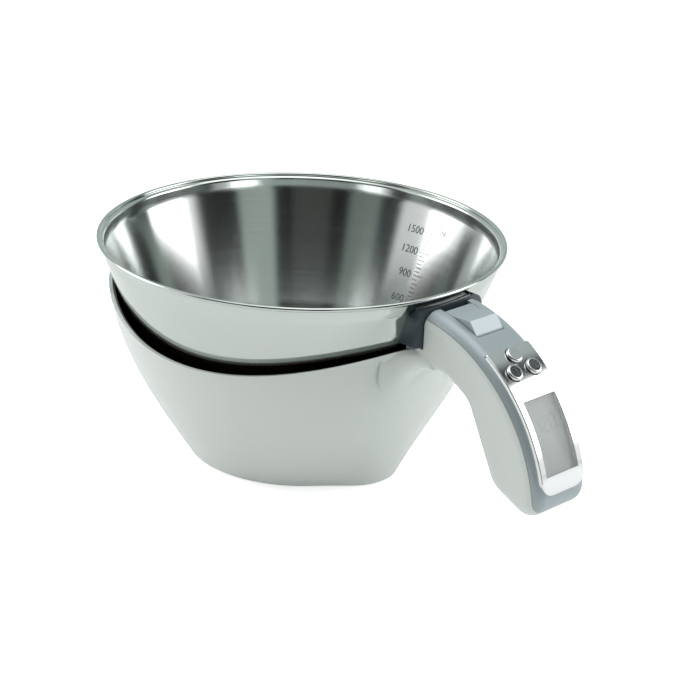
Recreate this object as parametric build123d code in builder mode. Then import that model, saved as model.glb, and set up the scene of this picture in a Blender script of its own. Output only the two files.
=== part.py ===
"""Kitchen scale: a steel bowl with volume marks hangs from the head of a curved handle,
inside a deep cradle.  The handle holds the load cell, the display and the keys.

Frame: the origin is on the bowl's axis at the table, +Z up, the handle along +X.
"""
import os
from math import cos, exp, radians, sin, sqrt

from build123d import *

os.makedirs("parts", exist_ok=True)

# ---- Driving dimensions (mm, degrees) ----------------------------------------------------
LIP_RADIUS = 104.0          # bowl over its rolled lip
LIP_HEIGHT = 115.0          # table to the top of the lip
LIP_BEAD = 1.1              # radius of the rolled bead
LIP_TURN = 2.6              # height of the turned-out lip
WALL_TOP_DROP = 7.5         # top of the lip to where the straight wall ends
WALL_TOP_INSET = 3.2        # bowl over its lip to the outside of the wall there
NECK = 0.4                  # how far the wall still widens from there to the lip
BOWL_WALL = 0.8
BOWL_SLOPE = 0.375          # outward run of the bowl's wall per mm of height
BOWL_FLOOR = 20.0           # table to the inside of the bowl's floor
BOWL_CORNER = 45.0          # inside radius between floor and wall

BASE_RADIUS = 56.4          # cradle at the table
BASE_FLARE = 0.66           # outward run of the cradle's wall per mm at the table
RIM_FLARE = 0.10            # the same at its rim
CRADLE_WALL = 1.8
CRADLE_GAP = 0.7            # bowl to liner where the cradle is highest
LINER_WALL = 0.8
LINER_FIT = 0.25            # cradle wall to liner
LINER_FLOOR = 13.0
RIM_DROP = 24.5             # top of the lip to the highest part of the cradle's rim
DIP_DROP = 42.5             # top of the lip to the lowest part of the cradle's rim
DIP_X = 20.0                # where the rim dips lowest
DIP_RADIUS = 190.0          # the rim's sweep, seen from the side
KEEL = 8.5                  # how far the base reaches out under the handle
KEEL_WIDTH = 19.0           # half angle of that reach
KEEL_TOP = 80.0             # height at which the reach has faded

HANDLE_RADIUS = 86.6        # arc of the handle's top, seen from the side
HANDLE_DROP = 91.65         # top of the lip to the centre of that arc
HANDLE_OFFSET = 10.4        # centre of that arc, inside the handle's head
HANDLE_WIDTH = 36.6
HANDLE_WALL = 2.2
HANDLE_EDGE = 7.0           # rounding of the handle's long edges
ROOT_DEPTH = 25.2           # thickness of the handle at the root, knuckle and heel
KNUCKLE_DEPTH = 25.3
HEEL_DEPTH = 29.9
ROOT_ANGLE = 68.9           # where those three are, about the centre of the arc
KNUCKLE_ANGLE = 53.9
HEEL_ANGLE = 13.3
KNUCKLE_BEND = 12.0
HEEL_BEND = 14.0
NOSE_BEND = 9.5
COVER_DEPTH = 3.6           # top of the handle to the seam of its cover
SEAM = 0.3
# Blend of the handle's root into the cradle: how far out of the rim's radius each section
# stands, and how much wider and deeper than the handle it is there.
ROOT_BLEND = [
    (-6.5, 15.0, 17.0),
    (-4.6, 9.6, 10.4),
    (-2.4, 5.6, 6.0),
    (0.0, 3.0, 3.2),
    (3.0, 1.3, 1.4),
    (7.0, 0.35, 0.4),
    (12.0, 0.0, 0.0),
]

HEAD_GAP = 0.6              # bowl bracket to handle head
HEAD_OUT = 2.8              # bowl over its lip to the end of the handle's head
BRACKET_WIDTH = 45.0
BRACKET_TOP = 4.8           # top of the lip to the top of the bracket
BRACKET_BAR = 6.2           # thickness of the bar over the receiver
BRACKET_LEG = 5.2
BRACKET_CORNER = 7.0
BRACKET_HOLLOW = 5.0        # rounding inside the arch
GROOVE_DEPTH, GROOVE_BEAD, GROOVE_END = 1.6, 1.5, 4.0
RIM_CLEARANCE = 1.0         # bracket's legs to the cradle's rim
SEAT_GAP = 0.05             # receiver to the bar that hangs on it

PANEL_START, PANEL_END = 59.5, 11.5     # control panel along the handle's arc
PANEL_WIDTH = 29.2
PANEL_PROUD = 1.3
PANEL_SINK = 0.8
PANEL_CORNER = 7.0
PANEL_CORNER_TOP = 1.5
PANEL_EDGE = 0.5
WINDOW_START, WINDOW_END = 41.3, 17.4   # display window along the handle's arc
WINDOW_WIDTH = 22.0
GLASS_TOP = 4.4             # display plane to the top of the glass
GLASS_THICK = 1.8
GLASS_MARGIN = 1.5          # glass beyond the window on each side
GLASS_FIT = 0.3
KEY_RADIUS = 4.25
KEY_CLEARANCE = 0.35
KEY_PROUD = 1.7
KEY_TRAVEL = 0.8
KEY_ANGLE_TOP, KEY_ANGLE_PAIR = 56.0, 50.6
KEY_PAIR_Y = 6.5

TAB_START, TAB_END = 81.4, 66.8         # release tab along the handle's arc
TAB_WIDTH = 18.0
TAB_CLEARANCE = 0.35
TAB_RISE = 3.7
LATCH_SHORT = 0.4           # latch bar to the catch on the bracket

SPRING_RADIUS, SPRING_WIRE, SPRING_TURNS = 0.9, 0.35, 4
SPRING_LENGTH = 3.9
SPRING_STOP = 1.2           # thickness of the upstand behind the spring

BOARD_WALL = 1.2
KEY_BOARD_RADIUS, KEY_BOARD_ANGLE = 79.0, 52.8
DISPLAY_RADIUS = 79.0
SWITCH_RISE = 1.6
CHIP_SIZE, CHIP_THICK = 12.0, 1.6
COIN_RADIUS = 10.0
COIN_THICK = 3.2
COIN_CLEARANCE = 0.4
DOOR_LENGTH = 25.0
DOOR_WIDTH = 23.0
DOOR_GAP = 0.35

CELL_ANGLE, CELL_RADIUS = 64.0, 70.5    # middle of the load cell on the handle's arc
CELL_LENGTH, CELL_WIDTH, CELL_HEIGHT = 35.0, 12.0, 8.0
CELL_SCREWS = [(-10.0, -3.2), (-10.0, 3.2), (12.0, -3.2), (12.0, 3.2)]
CELL_HOLE = 1.3
CELL_FLEX = (-2.5, 4.5)
PAD_START, PAD_END, PAD_WIDTH = 9.5, 15.5, 14.0
RECEIVER_WIDTH = 12.0
RECEIVER_ARM = 2.5          # thickness of the receiver's arm on the load cell
HORN_INSIDE, HORN_OUTSIDE = 6.5, 11.5   # the two horns that the bracket's bar rests on

# Screws that hold the cover: one at the nose, a pair behind the release tab.
COVER_SCREWS = [(13.0, 0.0), (63.5, -11.8), (63.5, 11.8)]
POST_MEET = 76.0            # radius at which the posts of cover and cradle meet
HEAD_SEAT = 68.0            # radius of the seat of the screws' heads
POST_RADIUS, COVER_POST_RADIUS = 3.2, 2.8
BRACKET_SCREW_Y = 11.0
BRACKET_SCREW_RISE = 2.6    # bar's underside to the bracket's screws

BASE_SCREW_CIRCLE = 38.0
FOOT_CIRCLE = 45.0
FOOT_RADIUS = 6.0
FOOT_PROUD = 0.8
FOOT_SINK = 0.8             # how far the feet sit in the base plate
PLATE_LOW, PLATE_HIGH = 1.1, 3.1
PLATE_FIT = 0.6
LEDGE = 1.6
FAR = 200.0                 # longer than anything here, for cutting blocks

# ---- Places worked out from them ---------------------------------------------------------
rim_top = LIP_HEIGHT - RIM_DROP
wall_top = LIP_HEIGHT - WALL_TOP_DROP           # where the bowl's straight wall ends
wall_top_radius = LIP_RADIUS - WALL_TOP_INSET   # outside of the wall there


def bowl_radius(z):
    """Outside radius of the bowl's straight wall at height z."""
    return wall_top_radius - BOWL_SLOPE * (wall_top - z)


rim_radius = bowl_radius(rim_top) + CRADLE_GAP + LINER_WALL + LINER_FIT + CRADLE_WALL
head_radius = LIP_RADIUS + HEAD_OUT             # cylinder that ends the handle's head
bracket_radius = head_radius - HEAD_GAP
centre_x = head_radius - HANDLE_OFFSET
centre_z = LIP_HEIGHT - HANDLE_DROP
inner_top = HANDLE_RADIUS - HANDLE_WALL
half_width = HANDLE_WIDTH / 2


def on_arc(radius, angle, y=0.0):
    """Point at a radius and an angle about the centre of the handle's arc."""
    return Vector(centre_x + radius * cos(radians(angle)), y, centre_z + radius * sin(radians(angle)))


def side(radius, angle):
    """The same point as a pair in the side view."""
    point = on_arc(radius, angle)
    return (point.X, point.Z)


def arc_plane(radius, angle, y=0.0):
    """Plane on the handle's arc: its x runs down the handle and its z points outward."""
    return Plane(
        origin=on_arc(radius, angle, y),
        x_dir=(sin(radians(angle)), 0, -cos(radians(angle))),
        z_dir=(cos(radians(angle)), 0, sin(radians(angle))),
    )


def shell_points(inset):
    """Control points of the cradle's wall, moved in by inset."""
    third = rim_top / 3
    radii = (BASE_RADIUS, BASE_RADIUS + BASE_FLARE * third, rim_radius - RIM_FLARE * third, rim_radius)
    return [(radius - inset, third * i) for i, radius in enumerate(radii)]


def shell_radius(z, inset):
    """Radius of the cradle's wall at height z: the cubic curve through those points."""
    t = z / rim_top
    weights = ((1 - t) ** 3, 3 * t * (1 - t) ** 2, 3 * t * t * (1 - t), t**3)
    return sum(w * p[0] for w, p in zip(weights, shell_points(inset)))


def keel_reach(z, angle):
    """How far the base stands out of the round wall at height z, towards the handle."""
    fade = max(0.0, 1 - z / KEEL_TOP)
    return KEEL * fade**2 * exp(-(abs(angle / KEEL_WIDTH) ** 2.5))


def shell_section(z, inset):
    """Closed outline of the cradle at height z."""
    points = []
    for step in range(-20, 20):
        angle = 9.0 * step
        radius = shell_radius(z, inset) + keel_reach(z, angle)
        points.append((radius * cos(radians(angle)), radius * sin(radians(angle))))
    Spline(*points, periodic=True)


def band(inner, outer, start, end):
    """Sector between two radii about the centre of the handle's arc, from start up to end."""
    CenterArc((centre_x, centre_z), outer, start, end - start)
    CenterArc((centre_x, centre_z), inner, start, end - start)
    Line(side(inner, start), side(outer, start))
    Line(side(inner, end), side(outer, end))


def write(part, label):
    """Label a finished piece and save it."""
    part.label = label
    export_step(part, f"parts/{label}.step")


# ---- Shapes that several pieces share ----------------------------------------------------
section_heights = [rim_top * i / 8 for i in range(9)]
SPARE = 3.0                 # how far the hollow runs past the shell's two ends
hollow_heights = [-SPARE + (rim_top + 2 * SPARE) * i / 8 for i in range(9)]

with BuildPart() as shell_outside:
    for height in section_heights:
        with BuildSketch(Plane.XY.offset(height)):
            with BuildLine():
                shell_section(height, 0)
            make_face()
    loft()

with BuildPart() as shell_inside:
    for height in hollow_heights:
        with BuildSketch(Plane.XY.offset(height)):
            with BuildLine():
                shell_section(height, CRADLE_WALL)
            make_face()
    loft()

with BuildPart() as above_rim:
    with BuildSketch(Plane.XZ.offset(-2 * LIP_RADIUS)) as rim_sweep:
        with Locations((0, rim_top + DIP_RADIUS)):
            Rectangle(4 * LIP_RADIUS, 2 * DIP_RADIUS)
        with Locations((DIP_X, LIP_HEIGHT - DIP_DROP + DIP_RADIUS)):
            Circle(DIP_RADIUS)
        dip_ends = rim_sweep.vertices().filter_by_position(Axis.Y, rim_top - 0.01, rim_top + 0.01)
        fillet(dip_ends.filter_by_position(Axis.X, -1.9 * LIP_RADIUS, 1.9 * LIP_RADIUS), 60)
    extrude(amount=4 * LIP_RADIUS)


def handle_solid(inset, edge):
    """Handle from inside the cradle to its nose, moved in by inset, its long edges rounded."""
    root = side(HANDLE_RADIUS - ROOT_DEPTH, ROOT_ANGLE)
    knuckle = side(HANDLE_RADIUS - KNUCKLE_DEPTH, KNUCKLE_ANGLE)
    heel = side(HANDLE_RADIUS - HEEL_DEPTH, HEEL_ANGLE)
    nose = side(HANDLE_RADIUS, 0)
    start = side(HANDLE_RADIUS, 95)
    bends = ((root, KNUCKLE_BEND), (knuckle, KNUCKLE_BEND), (heel, HEEL_BEND), (nose, NOSE_BEND))
    with BuildPart() as solid:
        with BuildSketch(Plane.XZ.offset(inset - half_width)) as outline:
            with BuildLine():
                CenterArc((centre_x, centre_z), HANDLE_RADIUS, 0, 95)
                Polyline(start, (start[0], root[1]), root, knuckle, heel, nose)
            make_face()
            for point, bend in bends:
                fillet(outline.vertices().sort_by_distance(point)[0], bend)
            if inset:
                offset(amount=-inset, kind=Kind.INTERSECTION)
        extrude(amount=HANDLE_WIDTH - 2 * inset)
        long_edges = solid.faces().filter_by(Plane.XZ).edges()
        buried = start[0] + inset + 0.01
        fillet(long_edges.filter_by_position(Axis.X, buried, buried + 2 * LIP_RADIUS), edge)
    return solid.part


def ring_sector(inner, outer, start, end, width):
    """Band of the handle's arc, centred on y = 0."""
    with BuildPart() as sector:
        with BuildSketch(Plane.XZ.offset(-width / 2)):
            with BuildLine():
                band(inner, outer, start, end)
            make_face()
        extrude(amount=width)
    return sector.part


def block(plane, x_range, y_range, z_range):
    """Box between two corners, in a plane of its own."""
    size = [high - low for low, high in (x_range, y_range, z_range)]
    middle = [(low + high) / 2 for low, high in (x_range, y_range, z_range)]
    return plane * Pos(*middle) * Box(*size, mode=Mode.PRIVATE)


def rod(plane, radius, z_range):
    """Cylinder along a plane's z."""
    return plane * Pos(0, 0, sum(z_range) / 2) * Cylinder(radius, z_range[1] - z_range[0], mode=Mode.PRIVATE)


handle_outside = handle_solid(0, HANDLE_EDGE)
handle_inside = handle_solid(HANDLE_WALL, HANDLE_EDGE - HANDLE_WALL)

with BuildPart() as head_cut:
    with BuildSketch(Plane.XY.offset(rim_top)):
        Circle(head_radius)
    extrude(amount=LIP_HEIGHT)

with BuildPart() as head_core:
    with BuildSketch():
        Circle(head_radius + HANDLE_WALL)
    extrude(amount=2 * LIP_HEIGHT)

handle_cavity = handle_inside - head_core.part
seam_radius = HANDLE_RADIUS - COVER_DEPTH
under_seam = ring_sector(seam_radius - SEAM / 2, HANDLE_RADIUS + 20, -20, 95, 3 * HANDLE_WIDTH)
over_seam = ring_sector(seam_radius + SEAM / 2, HANDLE_RADIUS + 20, -20, 95, 3 * HANDLE_WIDTH)

# The bracket hangs on a receiver, which is screwed to one end of the load cell.
bar_bottom = LIP_HEIGHT - BRACKET_TOP - BRACKET_BAR
shank_top = bar_bottom - 2.6
shank_bottom = bar_bottom - 5.4
foot_bottom = bar_bottom - 4.3
blade_low, blade_high = bar_bottom - 2.2, bar_bottom - 1.1
cell_plane = arc_plane(CELL_RADIUS, CELL_ANGLE)
cell_top = CELL_HEIGHT / 2

# The straight stretch of the handle's underside, between knuckle and heel.
knuckle_point = on_arc(HANDLE_RADIUS - KNUCKLE_DEPTH, KNUCKLE_ANGLE)
heel_point = on_arc(HANDLE_RADIUS - HEEL_DEPTH, HEEL_ANGLE)
along = (heel_point - knuckle_point).normalized()
door_middle = (knuckle_point + heel_point) * 0.5 + along * 2.0
door_plane = Plane(origin=door_middle, x_dir=along, z_dir=Vector(0, 1, 0).cross(along))
door_span = (-DOOR_LENGTH / 2, DOOR_LENGTH / 2)
door_reach = (-DOOR_WIDTH / 2, DOOR_WIDTH / 2)

cover_screw_planes = [arc_plane(0, angle, y) for angle, y in COVER_SCREWS]
base_screw_places = [Plane(origin=p.position) for p in PolarLocations(BASE_SCREW_CIRCLE, 4, 45)]
foot_places = [Plane.XY] + [Plane(origin=p.position) for p in PolarLocations(FOOT_CIRCLE, 4)]
key_places = [(KEY_ANGLE_TOP, 0.0), (KEY_ANGLE_PAIR, -KEY_PAIR_Y), (KEY_ANGLE_PAIR, KEY_PAIR_Y)]
display_angle = (WINDOW_START + WINDOW_END) / 2

# ---- Bowl --------------------------------------------------------------------------------
thick = BOWL_WALL * sqrt(1 + BOWL_SLOPE**2)
floor_edge = bowl_radius(BOWL_FLOOR) - thick
lip_start = LIP_HEIGHT - LIP_TURN
with BuildPart() as steel_bowl:
    with BuildSketch(Plane.XZ):
        with BuildLine():
            FilletPolyline(
                (0, BOWL_FLOOR),
                (floor_edge, BOWL_FLOOR),
                (wall_top_radius - thick, wall_top),
                (wall_top_radius - thick + NECK, lip_start),
                (LIP_RADIUS - LIP_BEAD, LIP_HEIGHT - LIP_BEAD),
                radius=[BOWL_CORNER, 12, 1.5],
            )
            offset(amount=BOWL_WALL, side=Side.RIGHT)
        make_face()
        with Locations((LIP_RADIUS - LIP_BEAD, LIP_HEIGHT - LIP_BEAD)):
            Circle(LIP_BEAD)
    revolve(axis=Axis.Z)
write(steel_bowl.part, "steel_bowl")

# ---- Bracket under the lip ---------------------------------------------------------------
bracket_bottom = rim_top + RIM_CLEARANCE
bracket_top = LIP_HEIGHT - BRACKET_TOP
leg_inside = BRACKET_WIDTH / 2 - BRACKET_LEG
bracket_screw_planes = [
    Plane(origin=(0, y, bar_bottom + BRACKET_SCREW_RISE), z_dir=(1, 0, 0))
    for y in (-BRACKET_SCREW_Y, BRACKET_SCREW_Y)
]
with BuildPart() as wall_cone:
    with BuildSketch(Plane.XZ):
        with BuildLine():
            low, high = bracket_bottom - 1, bracket_top + 1
            Polyline((0, low), (bowl_radius(low), low), (bowl_radius(high), high), (0, high), close=True)
        make_face()
    revolve(axis=Axis.Z)

with BuildPart() as bowl_bracket:
    with BuildSketch(Plane.YZ.offset(rim_radius - 14)) as arch:
        with BuildLine():
            FilletPolyline(
                (-BRACKET_WIDTH / 2, bracket_bottom),
                (-BRACKET_WIDTH / 2, bracket_top),
                (BRACKET_WIDTH / 2, bracket_top),
                (BRACKET_WIDTH / 2, bracket_bottom),
                radius=BRACKET_CORNER,
            )
            Line((BRACKET_WIDTH / 2, bracket_bottom), (leg_inside, bracket_bottom))
            FilletPolyline(
                (leg_inside, bracket_bottom),
                (leg_inside, bar_bottom),
                (-leg_inside, bar_bottom),
                (-leg_inside, bracket_bottom),
                radius=BRACKET_HOLLOW,
            )
            Line((-leg_inside, bracket_bottom), (-BRACKET_WIDTH / 2, bracket_bottom))
        make_face()
    extrude(amount=LIP_RADIUS)
    with BuildSketch(Plane.XY):
        Circle(bracket_radius)
    extrude(amount=2 * LIP_HEIGHT, mode=Mode.INTERSECT)
    # Groove behind the bead along the bracket's top edge.
    groove_y = (GROOVE_END - BRACKET_WIDTH / 2, BRACKET_WIDTH / 2 - GROOVE_END)
    groove = block(Plane.XY, (0, bracket_radius), groove_y, (bracket_top - GROOVE_DEPTH, LIP_HEIGHT))
    add(groove & rod(Plane.XY, bracket_radius - GROOVE_BEAD, (0, FAR)), mode=Mode.SUBTRACT)
    # Catch for the latch: a post with a foot that points at the bowl.
    post = (bracket_radius - 2, bracket_radius - 1)
    foot = (bracket_radius - 3.4 + LATCH_SHORT, bracket_radius - 1)
    add(block(Plane.XY, post, (-3, 3), (foot_bottom, bar_bottom + 0.5)))
    add(block(Plane.XY, foot, (-3, 3), (foot_bottom, foot_bottom + 1.5)))
    add(wall_cone.part, mode=Mode.SUBTRACT)
    # Counterbores of the two screws that hold it to studs on the bowl.
    for screw_plane in bracket_screw_planes:
        add(rod(screw_plane, 1.6, (0, FAR)), mode=Mode.SUBTRACT)
        add(rod(screw_plane, 2.8, (bracket_radius - 2.2, FAR)), mode=Mode.SUBTRACT)
write(bowl_bracket.part, "bowl_bracket")

with BuildPart() as bracket_screws:
    for screw_plane in bracket_screw_planes:
        add(rod(screw_plane, 1.5, (rim_radius - 8, bracket_radius - 1.2)))
        add(rod(screw_plane, 2.6, (bracket_radius - 2.2, bracket_radius - 0.6)))
        add(rod(screw_plane, 0.9, (bracket_radius - 1.2, bracket_radius)), mode=Mode.SUBTRACT)
    add(wall_cone.part, mode=Mode.SUBTRACT)
write(bracket_screws.part, "bracket_screws")

# ---- Cradle, with the lower half of the handle --------------------------------------------
root_low = on_arc(HANDLE_RADIUS - ROOT_DEPTH, ROOT_ANGLE).Z
with BuildPart() as root_fairing:
    for out, spread, drop in ROOT_BLEND:
        low = root_low - drop
        with BuildSketch(Plane.YZ.offset(rim_radius + out)):
            with Locations((0, (low + rim_top) / 2)):
                RectangleRounded(HANDLE_WIDTH + 2 * spread, rim_top - low, 0.65 * HANDLE_EDGE + spread / 2)
    loft()

panel_middle = on_arc(HANDLE_RADIUS, (PANEL_START + PANEL_END) / 2).Z


def corner_edges(panel, upper):
    """The short edges across a panel's thickness, at its upper or its lower end."""
    sides = [e for e in panel.edges().filter_by(GeomType.LINE) if abs(e.center().Y) > PANEL_WIDTH / 2 - 0.01]
    return [e for e in sides if (e.center().Z > panel_middle) == upper]


with BuildPart() as panel_blank:
    top = HANDLE_RADIUS + PANEL_PROUD
    add(ring_sector(HANDLE_RADIUS - PANEL_SINK, top, PANEL_END, PANEL_START, PANEL_WIDTH))
    fillet(corner_edges(panel_blank, False), PANEL_CORNER)
    fillet(corner_edges(panel_blank, True), PANEL_CORNER_TOP)

pad_block = block(cell_plane, (PAD_START, PAD_END), (-PAD_WIDTH / 2, PAD_WIDTH / 2), (-20, -cell_top))
cell_pad = pad_block & handle_outside
with BuildPart() as cradle_body:
    add(shell_outside.part)
    add(root_fairing.part)
    add(above_rim.part, mode=Mode.SUBTRACT)
    add(handle_outside)
    add(head_cut.part, mode=Mode.SUBTRACT)
    add(shell_inside.part, mode=Mode.SUBTRACT)
    add(handle_cavity, mode=Mode.SUBTRACT)
    # Posts for the cover's screws, and the pad that holds the fixed end of the load cell.
    for plane in cover_screw_planes:
        add(rod(plane, POST_RADIUS, (HANDLE_RADIUS - HEEL_DEPTH, POST_MEET)) & handle_outside)
    add(cell_pad)
    add(under_seam, mode=Mode.SUBTRACT)
    for plane in cover_screw_planes:
        add(rod(plane, 1.5, (0, POST_MEET + 1)), mode=Mode.SUBTRACT)
        add(rod(plane, 2.4, (0, HEAD_SEAT)), mode=Mode.SUBTRACT)
    for x, y in CELL_SCREWS[2:]:
        add(cell_plane * Pos(x, y, -cell_top) * Cylinder(CELL_HOLE, 8, mode=Mode.PRIVATE), mode=Mode.SUBTRACT)
    # Way in for the receiver and the latch, and the hole under the battery door.
    way_in = (shank_bottom - 3.6, LIP_HEIGHT)
    add(block(Plane.XY, (rim_radius, head_radius + 4), (-7, 7), way_in), mode=Mode.SUBTRACT)
    add(
        block(
            door_plane,
            (door_span[0] - DOOR_GAP, door_span[1] + DOOR_GAP),
            (door_reach[0] - DOOR_GAP, door_reach[1] + DOOR_GAP),
            (-HANDLE_WALL - 1.5, 4),
        ),
        mode=Mode.SUBTRACT,
    )
    # Ledge that the base plate is drawn up against.
    with BuildSketch(Plane.XY.offset(PLATE_HIGH)):
        with BuildLine():
            shell_section(PLATE_HIGH, CRADLE_WALL / 2)
        make_face()
        with BuildLine():
            shell_section(PLATE_HIGH, CRADLE_WALL + 2.5)
        make_face(mode=Mode.SUBTRACT)
    extrude(amount=LEDGE)
    add(block(Plane.XY, (-FAR, FAR), (-FAR, FAR), (-FAR, FOOT_PROUD)), mode=Mode.SUBTRACT)
write(cradle_body.part, "cradle_body")

with BuildPart() as cradle_liner:
    for inset in (CRADLE_WALL + LINER_FIT, CRADLE_WALL + LINER_FIT + LINER_WALL):
        with BuildSketch(Plane.XZ):
            with BuildLine():
                Bezier(*shell_points(inset))
                Polyline((BASE_RADIUS - inset, 0), (0, 0), (0, rim_top), (rim_radius - inset, rim_top))
            make_face()
        if inset < CRADLE_WALL + LINER_FIT + LINER_WALL:
            revolve(axis=Axis.Z)
        else:
            revolve(axis=Axis.Z, mode=Mode.SUBTRACT)
    with BuildSketch(Plane.XY.offset(LINER_FLOOR)):
        Circle(shell_radius(LINER_FLOOR, CRADLE_WALL + LINER_FIT + LINER_WALL / 2))
    extrude(amount=LEDGE)
    add(block(Plane.XY, (-FAR, FAR), (-FAR, FAR), (-FAR, LINER_FLOOR)), mode=Mode.SUBTRACT)
    for place in base_screw_places:
        add(rod(place, 3.6, (PLATE_HIGH, LINER_FLOOR + 0.5)))
        add(rod(place, 1.3, (0, LINER_FLOOR - 2)), mode=Mode.SUBTRACT)
    add(Pos(0, 0, -0.6) * above_rim.part, mode=Mode.SUBTRACT)
write(cradle_liner.part, "cradle_liner")

# ---- Underside ---------------------------------------------------------------------------
with BuildPart() as base_plate:
    with BuildSketch(Plane.XY.offset(PLATE_LOW)):
        with BuildLine():
            shell_section(PLATE_LOW, CRADLE_WALL + PLATE_FIT)
        make_face()
    extrude(amount=PLATE_HIGH - PLATE_LOW)
    for place in foot_places:
        add(rod(place, FOOT_RADIUS, (0, PLATE_LOW + FOOT_SINK)), mode=Mode.SUBTRACT)
    for place in base_screw_places:
        add(rod(place, 1.6, (0, 10)), mode=Mode.SUBTRACT)
        add(rod(place, 3.0, (0, PLATE_LOW + 0.9)), mode=Mode.SUBTRACT)
write(base_plate.part, "base_plate")

with BuildPart() as base_feet:
    for place in foot_places:
        add(rod(place, FOOT_RADIUS - 0.05, (0, PLATE_LOW + FOOT_SINK)))
    fillet(base_feet.faces().group_by(Axis.Z)[0].edges(), 0.5)
write(base_feet.part, "base_feet")

with BuildPart() as base_screws:
    for place in base_screw_places:
        add(rod(place, 2.8, (FOOT_PROUD, PLATE_LOW + 0.9)))
        add(rod(place, 1.25, (FOOT_PROUD, LINER_FLOOR - 3)))
        add(rod(place, 0.9, (0, FOOT_PROUD + 0.5)), mode=Mode.SUBTRACT)
write(base_screws.part, "base_screws")

# ---- Handle cover ------------------------------------------------------------------------
with BuildPart() as panel_pocket:
    top = HANDLE_RADIUS + 2 * PANEL_PROUD
    add(ring_sector(HANDLE_RADIUS - PANEL_SINK, top, PANEL_END, PANEL_START, PANEL_WIDTH))
    fillet(corner_edges(panel_pocket, False), PANEL_CORNER)

display_plane = arc_plane(DISPLAY_RADIUS, display_angle)
glass_reach = HANDLE_RADIUS * radians(WINDOW_START - WINDOW_END) / 2 + GLASS_MARGIN
glass_x = (-glass_reach, glass_reach)
glass_y = (-WINDOW_WIDTH / 2 - GLASS_MARGIN, WINDOW_WIDTH / 2 + GLASS_MARGIN)
slot_width = TAB_WIDTH + 2 * TAB_CLEARANCE
tab_slot = ring_sector(0.5 * HANDLE_RADIUS, HANDLE_RADIUS + 20, TAB_END - 0.25, 95, slot_width)
glass_pocket = block(
    display_plane,
    (glass_x[0] - GLASS_FIT, glass_x[1] + GLASS_FIT),
    (glass_y[0] - GLASS_FIT, glass_y[1] + GLASS_FIT),
    (0, 20),
)
key_holes = [rod(arc_plane(0, angle, y), KEY_RADIUS + KEY_CLEARANCE, (80, 95)) for angle, y in key_places]

with BuildPart() as handle_cover:
    add(handle_outside)
    add(head_cut.part, mode=Mode.SUBTRACT)
    add(block(Plane.XY, (0, head_radius - 3), (-FAR, FAR), (0, FAR)), mode=Mode.SUBTRACT)
    add(handle_cavity, mode=Mode.SUBTRACT)
    add(over_seam, mode=Mode.INTERSECT)
    for plane in cover_screw_planes:
        add(rod(plane, COVER_POST_RADIUS, (POST_MEET + 0.05, HANDLE_RADIUS - HANDLE_WALL / 2)))
        add(rod(plane, 1.3, (0, POST_MEET + 6)), mode=Mode.SUBTRACT)
    add(panel_pocket.part, mode=Mode.SUBTRACT)
    add(tab_slot, mode=Mode.SUBTRACT)
    add(glass_pocket, mode=Mode.SUBTRACT)
    add(key_holes, mode=Mode.SUBTRACT)
write(handle_cover.part, "handle_cover")

with BuildPart() as cover_screws:
    for plane in cover_screw_planes:
        add(rod(plane, 2.3, (HEAD_SEAT - 1.8, HEAD_SEAT)))
        add(rod(plane, 1.25, (HEAD_SEAT - 1.0, POST_MEET + 5)))
        add(rod(plane, 0.8, (0, HEAD_SEAT - 1.0)), mode=Mode.SUBTRACT)
write(cover_screws.part, "cover_screws")

# ---- Control panel, display and keys -----------------------------------------------------
window_gap = 0.05
window_side = ring_sector(
    HANDLE_RADIUS - 5, HANDLE_RADIUS + 5, WINDOW_END, WINDOW_START, WINDOW_WIDTH
)
with BuildPart() as control_panel:
    add(panel_blank.part)
    outer_edges = [
        e for e in control_panel.edges()
        if abs((e @ 0.5 - on_arc(0, 0)).cross(Vector(0, 1, 0)).length - HANDLE_RADIUS - PANEL_PROUD) < 0.01
    ]
    fillet(outer_edges, PANEL_EDGE)
    add(window_side, mode=Mode.SUBTRACT)
    add(key_holes, mode=Mode.SUBTRACT)
write(control_panel.part, "control_panel")

trim = window_gap / radians(1) / HANDLE_RADIUS
display_window = ring_sector(
    HANDLE_RADIUS - PANEL_SINK + 0.1,
    HANDLE_RADIUS + PANEL_PROUD - 0.3,
    WINDOW_END + trim,
    WINDOW_START - trim,
    WINDOW_WIDTH - 2 * window_gap,
)
write(display_window, "display_window")

with BuildPart() as display_glass:
    add(block(display_plane, glass_x, glass_y, (GLASS_TOP - GLASS_THICK, GLASS_TOP)))
write(display_glass.part, "display_glass")

board_x = (glass_x[0] + 0.5, glass_x[1] - 0.5)
stack = (BOARD_WALL, GLASS_TOP - GLASS_THICK)   # between the board and the glass
with BuildPart() as display_frame:
    add(block(display_plane, board_x, (glass_y[0] + 0.5, glass_y[1] - 0.5), stack))
    opening = (glass_x[0] + 4.5, glass_x[1] - 4.5)
    add(block(display_plane, opening, (glass_y[0] + 2, glass_y[1] - 2), (0, 9)), mode=Mode.SUBTRACT)
write(display_frame.part, "display_frame")

with BuildPart() as contact_strips:
    for end in (glass_x[0] + 5.0, glass_x[1] - 7.0):
        add(block(display_plane, (end, end + 2.0), (glass_y[0] + 3, glass_y[1] - 3), stack))
write(contact_strips.part, "contact_strips")

with BuildPart() as display_board:
    add(block(display_plane, board_x, glass_y, (0, BOARD_WALL)))
write(display_board.part, "display_board")

with BuildPart() as processor_chip:
    half = CHIP_SIZE / 2
    add(block(display_plane, (-half, half), (-half, half), (-CHIP_THICK, 0)))
write(processor_chip.part, "processor_chip")

key_board_plane = arc_plane(KEY_BOARD_RADIUS, KEY_BOARD_ANGLE)
with BuildPart() as key_board:
    add(block(key_board_plane, (-10, 9), (-13, 13), (0, BOARD_WALL)))
write(key_board.part, "key_board")

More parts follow.
